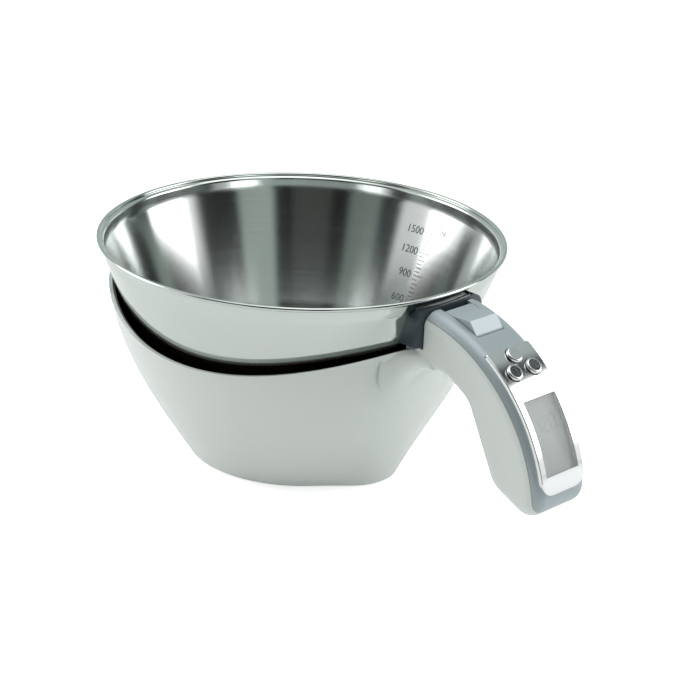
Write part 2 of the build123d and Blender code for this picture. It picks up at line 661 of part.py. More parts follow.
switch_top = KEY_BOARD_RADIUS + BOARD_WALL + SWITCH_RISE
with BuildPart() as key_switches:
    for angle, y in key_places:
        plane = arc_plane(0, angle, y)
        spot = key_board_plane.to_local_coords(on_arc(switch_top, angle, y))
        can = (BOARD_WALL, BOARD_WALL + 1.0)
        add(block(key_board_plane, (spot.X - 2.2, spot.X + 2.2), (y - 2.2, y + 2.2), can))
        add(rod(plane, 1.2, (KEY_BOARD_RADIUS + BOARD_WALL + 0.5, switch_top)))
write(key_switches.part, "key_switches")

for (angle, y), label in zip(key_places, ("power_key", "tare_key", "unit_key")):
    plane = arc_plane(0, angle, y)
    top = HANDLE_RADIUS + PANEL_PROUD + KEY_PROUD
    with BuildPart() as key:
        add(rod(plane, KEY_RADIUS, (inner_top - 1.5, top)))
        fillet(key.edges().sort_by_distance(on_arc(top, angle, y))[0], 1.1)
        add(rod(plane, KEY_RADIUS + 0.75, (inner_top - 1.6, inner_top - 0.6)))
        add(rod(plane, 1.5, (switch_top + KEY_TRAVEL + 0.1, inner_top - 1)))
    write(key.part, label)

# ---- Release tab and its spring ----------------------------------------------------------
web = (head_radius + 3.4, head_radius + 6.0)
tab_ends = (TAB_END + 2.5, TAB_START - 2.4)
with BuildPart() as release_tab:
    add(ring_sector(HANDLE_RADIUS - 2.0, HANDLE_RADIUS, TAB_END, TAB_START, TAB_WIDTH))
    # Thumb ramp: its crest is nearer the bowl and its face looks at the display.
    crest = on_arc(HANDLE_RADIUS + TAB_RISE, TAB_END + 4.6)
    toe = on_arc(HANDLE_RADIUS - 0.3, TAB_END + 0.2)
    back_of_ramp = on_arc(HANDLE_RADIUS - 0.3, TAB_START - 2.6)
    with BuildSketch(Plane.XZ.offset(-TAB_WIDTH / 2)):
        with BuildLine():
            Polyline(*[(point.X, point.Z) for point in (toe, crest, back_of_ramp)], close=True)
        make_face()
    extrude(amount=TAB_WIDTH)
    # Flange under the cover's edge, the neck that joins it, and the web down to the latch bar.
    add(ring_sector(HANDLE_RADIUS - COVER_DEPTH, inner_top - 0.5, *tab_ends, TAB_WIDTH + 2))
    add(ring_sector(HANDLE_RADIUS - COVER_DEPTH + 0.5, HANDLE_RADIUS - 1, *tab_ends, TAB_WIDTH - 2))
    add(block(Plane.XY, web, (-5, 5), (blade_low, on_arc(HANDLE_RADIUS - 3, 78).Z)))
    add(block(Plane.XY, (bracket_radius - 4.8, web[1]), (-6, 6), (blade_low, blade_high)))
    catch_room = (bracket_radius - 3.4, bracket_radius + 1.3)
    add(block(Plane.XY, catch_room, (-3.6, 3.6), (blade_low - 1, blade_high + 1)), mode=Mode.SUBTRACT)
write(release_tab.part, "release_tab")

spring_gap = SPRING_WIRE / 2 + 0.07
spring_start = Vector(web[1] + spring_gap, 0, shank_top + SPRING_RADIUS + spring_gap)
spring_stop = web[1] + SPRING_LENGTH + 2 * spring_gap
with BuildPart() as release_spring:
    with BuildLine() as coil:
        Helix(
            pitch=SPRING_LENGTH / SPRING_TURNS,
            height=SPRING_LENGTH,
            radius=SPRING_RADIUS,
            center=spring_start,
            direction=(1, 0, 0),
        )
    with BuildSketch(Plane(origin=coil.line @ 0, z_dir=coil.line % 0)):
        Circle(SPRING_WIRE / 2)
    sweep(path=coil.line, is_frenet=True)
write(release_spring.part, "release_spring")

# ---- Load cell and the receiver that the bowl hangs on -----------------------------------
with BuildPart() as load_cell:
    add(cell_plane * Box(CELL_LENGTH, CELL_WIDTH, CELL_HEIGHT, mode=Mode.PRIVATE))
    # Two cross holes and the slot between them let the beam bend.
    for x in CELL_FLEX:
        flex = Plane(origin=cell_plane.from_local_coords(Vector(x, 0, 0)), z_dir=(0, 1, 0))
        add(rod(flex, 2.6, (-CELL_WIDTH, CELL_WIDTH)), mode=Mode.SUBTRACT)
    add(block(cell_plane, CELL_FLEX, (-CELL_WIDTH, CELL_WIDTH), (-1, 1)), mode=Mode.SUBTRACT)
    for x, y in CELL_SCREWS:
        hole = cell_plane * Pos(x, y, 0)
        add(hole * Cylinder(CELL_HOLE, 2 * CELL_HEIGHT, mode=Mode.PRIVATE), mode=Mode.SUBTRACT)
write(load_cell.part, "load_cell")

with BuildPart() as load_cell_screws:
    for x, y in CELL_SCREWS:
        seat = cell_top + (RECEIVER_ARM if x < 0 else 0)
        bottom = -cell_top + 0.5 if x < 0 else -cell_top - 3
        middle = cell_plane.from_local_coords(Vector(x, y, 0))
        screw = Plane(middle, x_dir=cell_plane.x_dir, z_dir=cell_plane.z_dir)
        add(rod(screw, 1.25, (bottom, seat + 0.5)))
        add(rod(screw, 2.3, (seat, seat + 1.5)))
        add(rod(screw, 0.8, (seat + 0.8, seat + 3)), mode=Mode.SUBTRACT)
write(load_cell_screws.part, "load_cell_screws")

lug = (bracket_radius - 6.4, bracket_radius - 0.4)
with BuildPart() as bowl_receiver:
    width = (-RECEIVER_WIDTH / 2, RECEIVER_WIDTH / 2)
    add(block(Plane.XY, (lug[0], head_radius + 9.7), width, (shank_bottom, shank_top)))
    add(block(Plane.XY, lug, (-HORN_OUTSIDE, HORN_OUTSIDE), (shank_bottom - 2.1, shank_bottom + 0.6)))
    # Upstand that the release spring presses against.
    upstand = (spring_stop, spring_stop + SPRING_STOP)
    add(block(Plane.XY, (upstand[0] - 2, upstand[1]), (-3, 3), (shank_bottom, shank_top)))
    add(block(Plane.XY, upstand, (-3, 3), (shank_bottom, shank_top + 1.6)))
    for low, high in ((-HORN_OUTSIDE, -HORN_INSIDE), (HORN_INSIDE, HORN_OUTSIDE)):
        add(block(Plane.XY, lug, (low, high), (shank_bottom - 1, bar_bottom - SEAT_GAP)))
    add(block(cell_plane, (-CELL_LENGTH / 2, -6.5), width, (cell_top, cell_top + RECEIVER_ARM)))
    # Room for the foot of the catch, and for the heads of the screws.
    catch_room = (bracket_radius - 3.8, bracket_radius - 0.2)
    add(block(Plane.XY, catch_room, (-3.8, 3.8), (foot_bottom - 0.5, FAR)), mode=Mode.SUBTRACT)
    for x, y in CELL_SCREWS[:2]:
        hole = cell_plane * Pos(x, y, 0)
        head = cell_plane * Pos(x, y, cell_top + RECEIVER_ARM + 10)
        add(hole * Cylinder(1.4, 40, mode=Mode.PRIVATE), mode=Mode.SUBTRACT)
        add(head * Cylinder(2.5, 20, mode=Mode.PRIVATE), mode=Mode.SUBTRACT)
write(bowl_receiver.part, "bowl_receiver")

# ---- Battery -----------------------------------------------------------------------------
with BuildPart() as battery_door:
    add(block(door_plane, door_span, door_reach, (-HANDLE_WALL, 3)) & handle_outside)
    for step in range(4):
        groove = door_span[1] - 3.5 - 1.8 * step
        add(block(door_plane, (groove - 0.4, groove + 0.4), (-6, 6), (-0.5, 1)), mode=Mode.SUBTRACT)
write(battery_door.part, "battery_door")

coin_top = -HANDLE_WALL - 0.8
tray_x, tray_y = (door_span[0] - 1.5, door_span[1] + 2.5), (door_reach[0] - 1.5, door_reach[1] + 1.5)
with BuildPart() as battery_tray:
    add(block(door_plane, tray_x, tray_y, (coin_top - COIN_THICK - 1.8, -HANDLE_WALL - 0.05)) & handle_inside)
    add(rod(door_plane, COIN_RADIUS + COIN_CLEARANCE, (coin_top - COIN_THICK - 0.3, 5)), mode=Mode.SUBTRACT)
write(battery_tray.part, "battery_tray")

with BuildPart() as coin_cell:
    add(rod(door_plane, COIN_RADIUS, (coin_top - COIN_THICK, coin_top)))
    fillet(coin_cell.edges().filter_by(GeomType.CIRCLE), 0.3)
write(coin_cell.part, "coin_cell")

with BuildPart() as battery_contacts:
    floor_z = coin_top - COIN_THICK - 0.3
    add(block(door_plane, (-4, 4), (-2.5, 2.5), (floor_z, floor_z + 0.25)))
    add(block(door_plane, (-COIN_RADIUS - 0.3, -COIN_RADIUS - 0.1), (-1.2, 1.2), (floor_z, coin_top)))
write(battery_contacts.part, "battery_contacts")
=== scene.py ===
# %% [markdown]
# # A kitchen scale, dressed for its picture
# The frame holds the scale as it was engineered: thirty-one parts in metres, standing on the table at z =
# 0. This lesson leaves that frame alone and gives each part its finish. Where a smoother or finer shape is
# needed, such as the spun steel bowl or the printed marks, a new piece is modelled and rides on the same
# body.

# %% Load the frame
import math

import bmesh
import bpy
from mathutils import Matrix, Vector


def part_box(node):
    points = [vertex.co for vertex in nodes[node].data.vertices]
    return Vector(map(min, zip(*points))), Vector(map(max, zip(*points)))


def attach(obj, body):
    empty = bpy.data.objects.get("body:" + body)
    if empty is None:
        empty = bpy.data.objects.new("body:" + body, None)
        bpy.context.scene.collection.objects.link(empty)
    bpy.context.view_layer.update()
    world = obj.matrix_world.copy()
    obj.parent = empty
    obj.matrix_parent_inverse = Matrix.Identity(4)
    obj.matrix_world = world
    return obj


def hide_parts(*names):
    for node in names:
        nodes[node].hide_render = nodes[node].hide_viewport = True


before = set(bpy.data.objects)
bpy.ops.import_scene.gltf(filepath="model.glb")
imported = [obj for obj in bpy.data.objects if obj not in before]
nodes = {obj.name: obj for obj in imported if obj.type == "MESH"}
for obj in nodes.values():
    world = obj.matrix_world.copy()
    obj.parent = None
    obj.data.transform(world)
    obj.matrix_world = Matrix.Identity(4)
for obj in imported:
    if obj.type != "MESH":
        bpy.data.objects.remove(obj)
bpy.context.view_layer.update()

# %% [markdown]
# ## The camera
# A camera can be aimed with a constraint or by typing angles. Here its three axes are built as vectors,
# because the real camera was tipped a little to one side: a right, an up and a back vector make the columns
# of its matrix. The long lens, about 106 mm on a 36 mm sensor, keeps the bowl's ellipse calm.

# %% Camera
CAMERA_PLACE = Vector((0.70002, -0.65536, 0.45053))
CAMERA_AZIMUTH, CAMERA_ELEVATION, CAMERA_ROLL = (math.radians(v) for v in (45.62, 22.28, 2.42))
LENS, SENSOR = 105.88, 36.0

back = Vector((
    math.sin(CAMERA_AZIMUTH) * math.cos(CAMERA_ELEVATION),
    -math.cos(CAMERA_AZIMUTH) * math.cos(CAMERA_ELEVATION),
    math.sin(CAMERA_ELEVATION),
))
level = Vector((math.cos(CAMERA_AZIMUTH), math.sin(CAMERA_AZIMUTH), 0.0))
upright = back.cross(level)
right = level * math.cos(CAMERA_ROLL) + upright * math.sin(CAMERA_ROLL)
up = upright * math.cos(CAMERA_ROLL) - level * math.sin(CAMERA_ROLL)

lens = bpy.data.cameras.new("camera")
lens.lens = LENS
lens.sensor_width = SENSOR
lens.clip_start, lens.clip_end = 0.01, 50.0
camera = bpy.data.objects.new("camera", lens)
bpy.context.scene.collection.objects.link(camera)
camera.matrix_world = Matrix((
    (right.x, up.x, back.x, CAMERA_PLACE.x),
    (right.y, up.y, back.y, CAMERA_PLACE.y),
    (right.z, up.z, back.z, CAMERA_PLACE.z),
    (0.0, 0.0, 0.0, 1.0),
))
bpy.context.scene.camera = camera
print("camera", round(math.degrees(2 * math.atan(SENSOR / 2 / LENS)), 2), "degrees wide")

# %% [markdown]
# ## The studio
# Steel has no colour of its own. What it shows is the room, so the room is drawn first. A product studio
# has large white screens to the left and right and dark gaps between them, and those gaps are the dark
# stripes in the bowl. The room could be built from planes and lamps. A world shader is lighter: the
# direction of a ray gives an angle round the object, and a colour ramp over that angle paints the screens
# and the gaps.

# %% Studio room
# Angle from the camera's side in degrees, positive to the right, with the brightness and the tint seen
# there.
SCREENS = [
    (-180, 1.30, "cool"), (-128, 1.30, "cool"), (-122, 1.9, "white"), (-64, 1.9, "white"),
    (-60, 0.05, "blue"), (-50, 0.08, "blue"), (-46, 0.50, "green"), (-30, 0.44, "green"),
    (-26, 0.01, "green"), (-19, 0.01, "green"), (-14, 0.12, "warm"), (6, 0.12, "warm"),
    (10, 0.01, "warm"), (18, 0.01, "warm"), (22, 1.00, "green"), (41, 0.90, "green"),
    (45, 0.02, "blue"), (68, 0.02, "blue"), (75, 2.2, "white"), (103, 2.2, "white"),
    (107, 0.06, "blue"), (117, 0.08, "blue"), (122, 1.10, "cool"), (180, 1.20, "cool"),
]
TINTS = {
    "white": (1.0, 1.0, 1.0), "cool": (0.88, 1.0, 0.98), "green": (0.86, 1.0, 0.92),
    "blue": (0.72, 0.95, 1.0), "warm": (1.0, 1.0, 0.96),
}
BRIGHTEST = 2.4
ROOM_POWER = 0.42
PAPER_POWER = 1.1
CEILING_COLOR = (0.62, 0.64, 0.63, 1.0)
CEILING_FROM, CEILING_TO = 0.70, 0.92      # height of the ray's direction


def link(tree, source, target):
    tree.links.new(source, target)


def add_node(tree, kind, **settings):
    node = tree.nodes.new(kind)
    for key, value in settings.items():
        setattr(node, key, value)
    return node


def math_node(tree, operation, a, b=None):
    node = add_node(tree, "ShaderNodeMath", operation=operation)
    for socket, value in zip(node.inputs, (a, b)):
        if value is None:
            continue
        if isinstance(value, (int, float)):
            socket.default_value = value
        else:
            link(tree, value, socket)
    return node.outputs[0]


world = bpy.data.worlds.new("studio")
world.use_nodes = True
room = world.node_tree
room.nodes.clear()
toward = add_node(room, "ShaderNodeTexCoord").outputs["Generated"]
axes = add_node(room, "ShaderNodeSeparateXYZ")
link(room, toward, axes.inputs[0])
bearing = math_node(room, "ARCTAN2", axes.outputs["Y"], axes.outputs["X"])
camera_side = math.atan2(back.y, back.x)
turned = math_node(room, "ADD", bearing, -camera_side + math.pi)
share = math_node(
    room, "FRACT",
    math_node(room, "DIVIDE", math_node(room, "ADD", turned, 2 * math.pi), 2 * math.pi),
)
ramp = add_node(room, "ShaderNodeValToRGB")
link(room, share, ramp.inputs[0])
stops = ramp.color_ramp.elements
while len(stops) < len(SCREENS):
    stops.new(0.5)
for stop, (angle, _, _) in zip(stops, SCREENS):
    stop.position = (angle + 180) / 360
for stop, (_, light, tint) in zip(stops, SCREENS):
    stop.color = (*(light / BRIGHTEST * c for c in TINTS[tint]), 1.0)
# Overhead the screens meet in a soft white ceiling.
height_share = add_node(room, "ShaderNodeMapRange", interpolation_type="SMOOTHSTEP")
link(room, axes.outputs["Z"], height_share.inputs["Value"])
for name, value in (("From Min", CEILING_FROM), ("From Max", CEILING_TO), ("To Min", 0.0), ("To Max", 1.0)):
    height_share.inputs[name].default_value = value
ceiling = add_node(room, "ShaderNodeMix", data_type="RGBA")
link(room, height_share.outputs[0], ceiling.inputs["Factor"])
link(room, ramp.outputs["Color"], ceiling.inputs[6])
ceiling.inputs[7].default_value = CEILING_COLOR
screens = add_node(room, "ShaderNodeBackground")
link(room, ceiling.outputs[2], screens.inputs["Color"])
screens.inputs["Strength"].default_value = BRIGHTEST * ROOM_POWER
# The picture's own background is plain white paper.
paper = add_node(room, "ShaderNodeBackground")
paper.inputs["Color"].default_value = (1.0, 1.0, 1.0, 1.0)
paper.inputs["Strength"].default_value = PAPER_POWER
seen = add_node(room, "ShaderNodeLightPath")
either = add_node(room, "ShaderNodeMixShader")
link(room, seen.outputs["Is Camera Ray"], either.inputs["Fac"])
link(room, screens.outputs[0], either.inputs[1])
link(room, paper.outputs[0], either.inputs[2])
link(room, either.outputs[0], add_node(room, "ShaderNodeOutputWorld").inputs["Surface"])
bpy.context.scene.world = world
bpy.context.scene.view_settings.view_transform = "Standard"
print("studio with", len(SCREENS), "stops")

# %% Soft lamps
LAMPS = [
    # name, place, size, watts: one hangs over the bowl and one stands at each side
    ("lamp_over", (0.05, 0.10, 1.20), 1.0, 3.2),
    ("lamp_left", (-1.00, -0.70, 0.65), 0.7, 5.0),
    ("lamp_right", (0.80, 1.00, 0.60), 0.7, 4.5),
]
AIM = Vector((0.05, 0.0, 0.05))
for name, place, size, watts in LAMPS:
    light = bpy.data.lights.new(name, "AREA")
    light.shape, light.size, light.energy = "SQUARE", size, watts
    lamp = bpy.data.objects.new(name, light)
    bpy.context.scene.collection.objects.link(lamp)
    lamp.location = place
    lamp.rotation_mode = "QUATERNION"
    lamp.rotation_quaternion = (Vector(place) - AIM).to_track_quat("Z", "Y")
print("lamps:", [row[0] for row in LAMPS])

# %% [markdown]
# ## Helpers for materials
# A material here is a Principled shader with nodes that read the piece's own coordinates in metres. One
# helper makes the shader with its constants, and two node groups hold what several finishes share: the
# faint unevenness of a moulded or handled surface, and the fine lines of brushed metal.

# %% Material helpers
def finish_of(name, color, roughness, metallic=0.0, **constants):
    material = bpy.data.materials.new(name)
    material.use_nodes = True
    tree = material.node_tree
    shader = tree.nodes["Principled BSDF"]
    shader.inputs["Base Color"].default_value = (*color, 1.0)
    shader.inputs["Roughness"].default_value = roughness
    shader.inputs["Metallic"].default_value = metallic
    for key, value in constants.items():
        shader.inputs[key.replace("_", " ")].default_value = value
    return material, tree, shader


def group_with(name, inputs, outputs):
    group = bpy.data.node_groups.new(name, "ShaderNodeTree")
    for label, kind, value in inputs:
        socket = group.interface.new_socket(label, in_out="INPUT", socket_type=kind)
        socket.default_value = value
    for label, kind in outputs:
        group.interface.new_socket(label, in_out="OUTPUT", socket_type=kind)
    entry = add_node(group, "NodeGroupInput")
    leave = add_node(group, "NodeGroupOutput")
    return group, entry, leave


def place_group(tree, group, **values):
    node = add_node(tree, "ShaderNodeGroup", node_tree=group)
    for key, value in values.items():
        node.inputs[key.replace("_", " ")].default_value = value
    return node


# %% [markdown]
# ## Shared effect: uneven surface
# No moulding is perfectly even. A slow noise gives large soft areas of slightly different gloss, and a fast
# noise gives the fine texture of the tool. Both leave the group as numbers: one for roughness, one for a
# bump, one for a slight shift of colour.

# %% Group: uneven surface
uneven, entry, leave = group_with(
    "uneven_surface",
    [("Base", "NodeSocketFloat", 0.4), ("Swing", "NodeSocketFloat", 0.08),
     ("Grain", "NodeSocketFloat", 2500.0), ("Patch", "NodeSocketFloat", 30.0),
     ("Color", "NodeSocketColor", (1, 1, 1, 1)), ("Dirt", "NodeSocketFloat", 0.05)],
    [("Roughness", "NodeSocketFloat"), ("Height", "NodeSocketFloat"), ("Color", "NodeSocketColor")],
)
place = add_node(uneven, "ShaderNodeTexCoord")
patch = add_node(uneven, "ShaderNodeTexNoise")
patch.inputs["Detail"].default_value = 3.0
link(uneven, place.outputs["Object"], patch.inputs["Vector"])
link(uneven, entry.outputs["Patch"], patch.inputs["Scale"])
grain = add_node(uneven, "ShaderNodeTexNoise")
grain.inputs["Detail"].default_value = 2.0
link(uneven, place.outputs["Object"], grain.inputs["Vector"])
link(uneven, entry.outputs["Grain"], grain.inputs["Scale"])
centred = math_node(uneven, "SUBTRACT", patch.outputs["Fac"], 0.5)
swung = math_node(uneven, "MULTIPLY", centred, entry.outputs["Swing"])
link(uneven, math_node(uneven, "ADD", swung, entry.outputs["Base"]), leave.inputs["Roughness"])
link(uneven, grain.outputs["Fac"], leave.inputs["Height"])
shade = math_node(uneven, "MULTIPLY", centred, entry.outputs["Dirt"])
lift = math_node(uneven, "ADD", shade, 1.0)
tinted = add_node(uneven, "ShaderNodeVectorMath", operation="SCALE")
link(uneven, entry.outputs["Color"], tinted.inputs[0])
link(uneven, lift, tinted.inputs["Scale"])
link(uneven, tinted.outputs[0], leave.inputs["Color"])
print("group", uneven.name)

# %% [markdown]
# ## Shared effect: brushed lines
# Brushing leaves thousands of fine parallel scratches. Noise stretched a hundred times along the scratches
# looks right, and it costs one texture. The stretch is a scale per axis, so each material says which way it
# was brushed.

# %% Group: brushed lines
brushed, entry, leave = group_with(
    "brushed_lines",
    [("Stretch", "NodeSocketVector", (20.0, 20.0, 1500.0)), ("Base", "NodeSocketFloat", 0.3),
     ("Swing", "NodeSocketFloat", 0.2), ("Color", "NodeSocketColor", (1, 1, 1, 1)),
     ("Streak", "NodeSocketFloat", 0.1)],
    [("Roughness", "NodeSocketFloat"), ("Height", "NodeSocketFloat"), ("Color", "NodeSocketColor")],
)
place = add_node(brushed, "ShaderNodeTexCoord")
stretch = add_node(brushed, "ShaderNodeVectorMath", operation="MULTIPLY")
link(brushed, place.outputs["Object"], stretch.inputs[0])
link(brushed, entry.outputs["Stretch"], stretch.inputs[1])
lines = add_node(brushed, "ShaderNodeTexNoise")
lines.inputs["Scale"].default_value = 1.0
lines.inputs["Detail"].default_value = 4.0
lines.inputs["Roughness"].default_value = 0.65
link(brushed, stretch.outputs[0], lines.inputs["Vector"])
centred = math_node(brushed, "SUBTRACT", lines.outputs["Fac"], 0.5)
link(brushed, math_node(brushed, "ADD", math_node(brushed, "MULTIPLY", centred, entry.outputs["Swing"]),
                        entry.outputs["Base"]), leave.inputs["Roughness"])
link(brushed, lines.outputs["Fac"], leave.inputs["Height"])
lift = math_node(brushed, "ADD", math_node(brushed, "MULTIPLY", centred, entry.outputs["Streak"]), 1.0)
tinted = add_node(brushed, "ShaderNodeVectorMath", operation="SCALE")
link(brushed, entry.outputs["Color"], tinted.inputs[0])
link(brushed, lift, tinted.inputs["Scale"])
link(brushed, tinted.outputs[0], leave.inputs["Color"])
print("group", brushed.name)


# %% Two ways to use the groups
def add_bump(tree, shader, height, distance):
    bump = add_node(tree, "ShaderNodeBump")
    bump.inputs["Distance"].default_value = distance
    link(tree, height, bump.inputs["Height"])
    link(tree, bump.outputs[0], shader.inputs["Normal"])


def moulded(name, color, roughness, swing=0.08, grain=2500.0, depth=2e-6, dirt=0.05, patch=30.0, **constants):
    """Plastic, rubber or plated metal with the uneven surface group."""
    material, tree, shader = finish_of(name, color, roughness, **constants)
    effect = place_group(
        tree, uneven, Base=roughness, Swing=swing, Grain=grain, Patch=patch, Color=(*color, 1.0),
        Dirt=dirt,
    )
    link(tree, effect.outputs["Roughness"], shader.inputs["Roughness"])
    link(tree, effect.outputs["Color"], shader.inputs["Base Color"])
    add_bump(tree, shader, effect.outputs["Height"], depth)
    return material


def brushed_metal(name, color, roughness, stretch, swing=0.15, depth=2e-6, streak=0.1, **constants):
    """Metal with fine lines: the axis with the largest stretch runs across them."""
    material, tree, shader = finish_of(name, color, roughness, metallic=1.0, **constants)
    effect = place_group(
        tree, brushed, Stretch=stretch, Base=roughness, Swing=swing, Color=(*color, 1.0),
        Streak=streak,
    )
    link(tree, effect.outputs["Roughness"], shader.inputs["Roughness"])
    link(tree, effect.outputs["Color"], shader.inputs["Base Color"])
    add_bump(tree, shader, effect.outputs["Height"], depth)
    return material, tree, shader


# %% [markdown]
# ## Finishes
# The white of the cradle is a gloss ABS: bright, with a clear reflection under a slight grey-green cast.
# The cover is a satin paint, the panel is vacuum plated, and the parts inside get honest finishes too,
# because they show as soon as the bowl is lifted off.

# %% Finishes of the mouldings
moulded(
    "white_gloss", (0.80, 0.845, 0.815), 0.20, swing=0.10, depth=1e-6, dirt=0.03, Coat_Weight=0.35,
    Coat_Roughness=0.08,
)
# The cradle liner is near-black: its colour is painted shade for the narrow unlit gap between bowl and
# cradle.
moulded("liner_painted_shade", (0.030, 0.018, 0.012), 0.36, grain=1800.0, depth=6e-6, dirt=0.5)
moulded(
    "satin_cover", (0.47, 0.54, 0.57), 0.33, swing=0.06, grain=5200.0, depth=1.2e-6, dirt=0.03,
    metallic=0.25,
)
moulded("base_plastic", (0.22, 0.235, 0.23), 0.5, grain=1500.0, depth=8e-6, dirt=0.25)
moulded("foot_rubber", (0.03, 0.03, 0.03), 0.75, grain=2200.0, depth=1.5e-5, dirt=0.6)
moulded("bracket_plastic", (0.045, 0.062, 0.075), 0.27, swing=0.12, grain=1900.0, depth=4e-6, dirt=0.3)
moulded("inner_plastic", (0.66, 0.67, 0.65), 0.45, grain=1200.0, depth=6e-6, dirt=0.1)
moulded("door_plastic", (0.70, 0.74, 0.72), 0.24, dirt=0.04)
moulded("contact_rubber", (0.32, 0.29, 0.32), 0.7, grain=3000.0, depth=8e-6, dirt=0.3)
moulded("chip_black", (0.02, 0.02, 0.022), 0.5, grain=4000.0, depth=6e-6, dirt=0.4)

# %% Finishes of the metals
moulded(
    "panel_chrome", (0.90, 0.91, 0.915), 0.075, swing=0.04, grain=4000.0, depth=3e-7, dirt=0.02,
    metallic=1.0,
)
moulded(
    "key_chrome", (0.88, 0.89, 0.895), 0.10, swing=0.05, grain=4000.0, depth=4e-7, dirt=0.02,
    metallic=1.0,
)
brushed_metal("screw_steel", (0.62, 0.62, 0.61), 0.28, (600.0, 600.0, 600.0))
brushed_metal("milled_aluminium", (0.70, 0.71, 0.73), 0.32, (60.0, 2200.0, 60.0), depth=4e-6)
brushed_metal("coin_cell_steel", (0.66, 0.66, 0.66), 0.25, (1200.0, 80.0, 1200.0))
brushed_metal("contact_brass", (0.78, 0.58, 0.26), 0.25, (1500.0, 100.0, 100.0))
print("finishes made:", len(bpy.data.materials))

# %% [markdown]
# ## The circuit boards
# A board is green varnish over copper. Tracks show as slightly lighter lines under it. A brick pattern with
# thin mortar, turned by its own coordinates, makes a plausible net of tracks without drawing each one.

# %% Board finish
_, tree, shader = finish_of("board_green", (0.02, 0.16, 0.07), 0.3, Coat_Weight=0.5)
place = add_node(tree, "ShaderNodeTexCoord")
tracks = add_node(tree, "ShaderNodeTexBrick")
link(tree, place.outputs["Object"], tracks.inputs["Vector"])
for key, value in (("Scale", 260.0), ("Mortar Size", 0.03), ("Brick Width", 0.7), ("Row Height", 0.22)):
    tracks.inputs[key].default_value = value
tracks.inputs["Color1"].default_value = (0.015, 0.14, 0.06, 1)
tracks.inputs["Color2"].default_value = (0.02, 0.17, 0.075, 1)
tracks.inputs["Mortar"].default_value = (0.05, 0.30, 0.12, 1)
link(tree, tracks.outputs["Color"], shader.inputs["Base Color"])
add_bump(tree, shader, tracks.outputs["Fac"], 2e-5)

# %% [markdown]
# ## The display
# The glass of a reflective liquid crystal display is a grey-green mirror with a fine grid. Its colour is
# painted darker towards its lower edge and far side, a painted shade for the flatter light there. Over it
# sits a clear window.

# %% Display finishes
glass_low, glass_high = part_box("display_glass")
_, tree, shader = finish_of("display_grey", (0.50, 0.60, 0.57), 0.22, Coat_Weight=0.6)
place = add_node(tree, "ShaderNodeTexCoord")
spot = add_node(tree, "ShaderNodeSeparateXYZ")
link(tree, place.outputs["Object"], spot.inputs[0])
depth = add_node(tree, "ShaderNodeMapRange")
# One number that grows down the handle and towards the far side.
slide = math_node(tree, "SUBTRACT", math_node(tree, "MULTIPLY", spot.outputs["Y"], 1.3), spot.outputs["Z"])
link(tree, slide, depth.inputs["Value"])
depth.inputs["From Min"].default_value = -glass_high.z + 0.005
depth.inputs["From Max"].default_value = -glass_low.z + 0.012
# Painted shade: this ramp darkens the glass colour from its upper edge to its lower edge.
painted_shade_ramp = add_node(tree, "ShaderNodeValToRGB")
link(tree, depth.outputs[0], painted_shade_ramp.inputs[0])
painted_shade_ramp.color_ramp.elements[0].color = (0.50, 0.60, 0.56, 1)
painted_shade_ramp.color_ramp.elements[1].color = (0.20, 0.27, 0.31, 1)
middle = painted_shade_ramp.color_ramp.elements.new(0.55)
middle.color = (0.44, 0.54, 0.51, 1)
link(tree, painted_shade_ramp.outputs[0], shader.inputs["Base Color"])
grid = add_node(tree, "ShaderNodeTexNoise")
grid.inputs["Scale"].default_value = 3500.0
link(tree, place.outputs["Object"], grid.inputs["Vector"])
add_bump(tree, shader, grid.outputs["Fac"], 1e-6)

_, tree, shader = finish_of("window_clear", (0.97, 1.0, 0.99), 0.03)
shader.inputs["Transmission Weight"].default_value = 1.0
shader.inputs["IOR"].default_value = 1.15
smear = add_node(tree, "ShaderNodeTexNoise")
smear.inputs["Scale"].default_value = 90.0
place = add_node(tree, "ShaderNodeTexCoord")
link(tree, place.outputs["Object"], smear.inputs["Vector"])
haze = math_node(tree, "MULTIPLY", smear.outputs["Fac"], 0.06)
link(tree, haze, shader.inputs["Roughness"])
print("display from", [round(v, 4) for v in glass_low], "to", [round(v, 4) for v in glass_high])

# %% [markdown]
# ## Dressing the frame's own parts
# A part whose shape is right stays as it is and only gets a material. A new finish goes into the first slot
# of the part's mesh, and the list below says which parts share it, the way a maker lists colours for a
# moulding shop.

# %% Assign finishes
DRESS = {
    "white_gloss": ["cradle_body"],
    "liner_painted_shade": ["cradle_liner"],
    "satin_cover": ["handle_cover", "release_tab"],
    "base_plastic": ["base_plate"],
    "foot_rubber": ["base_feet"],
    "bracket_plastic": ["bowl_bracket", "bowl_receiver"],
    "inner_plastic": ["display_frame", "battery_tray"],
    "door_plastic": ["battery_door"],
    "contact_rubber": ["contact_strips"],
    "chip_black": ["processor_chip", "key_switches"],
    "panel_chrome": ["control_panel"],
    "key_chrome": ["power_key", "tare_key", "unit_key"],
    "screw_steel": ["bracket_screws", "cover_screws", "base_screws", "load_cell_screws", "release_spring"],
    "milled_aluminium": ["load_cell"],
    "coin_cell_steel": ["coin_cell"],
    "contact_brass": ["battery_contacts"],
    "board_green": ["display_board", "key_board"],
    "display_grey": ["display_glass"],
    "window_clear": ["display_window"],
}
for finish, members in DRESS.items():
    for name in members:
        slots = nodes[name].data.materials
        slots.clear()
        slots.append(bpy.data.materials[finish])
dressed = sorted(n for members in DRESS.values() for n in members)
print("still plain:", sorted(set(nodes) - set(dressed)))

# %% [markdown]
# ## The steel bowl
# The real bowl is spun from a disc: one profile turned round one axis. That is how it is made here too. The
# profile runs from the middle of the floor up the inner wall to the lip, a full spin closes it, and
# Solidify gives the sheet its thickness. The rolled lip is a small circle, spun the same way. Inside the
# bowl is brushed round and round, outside it is polished, so its faces get two materials.

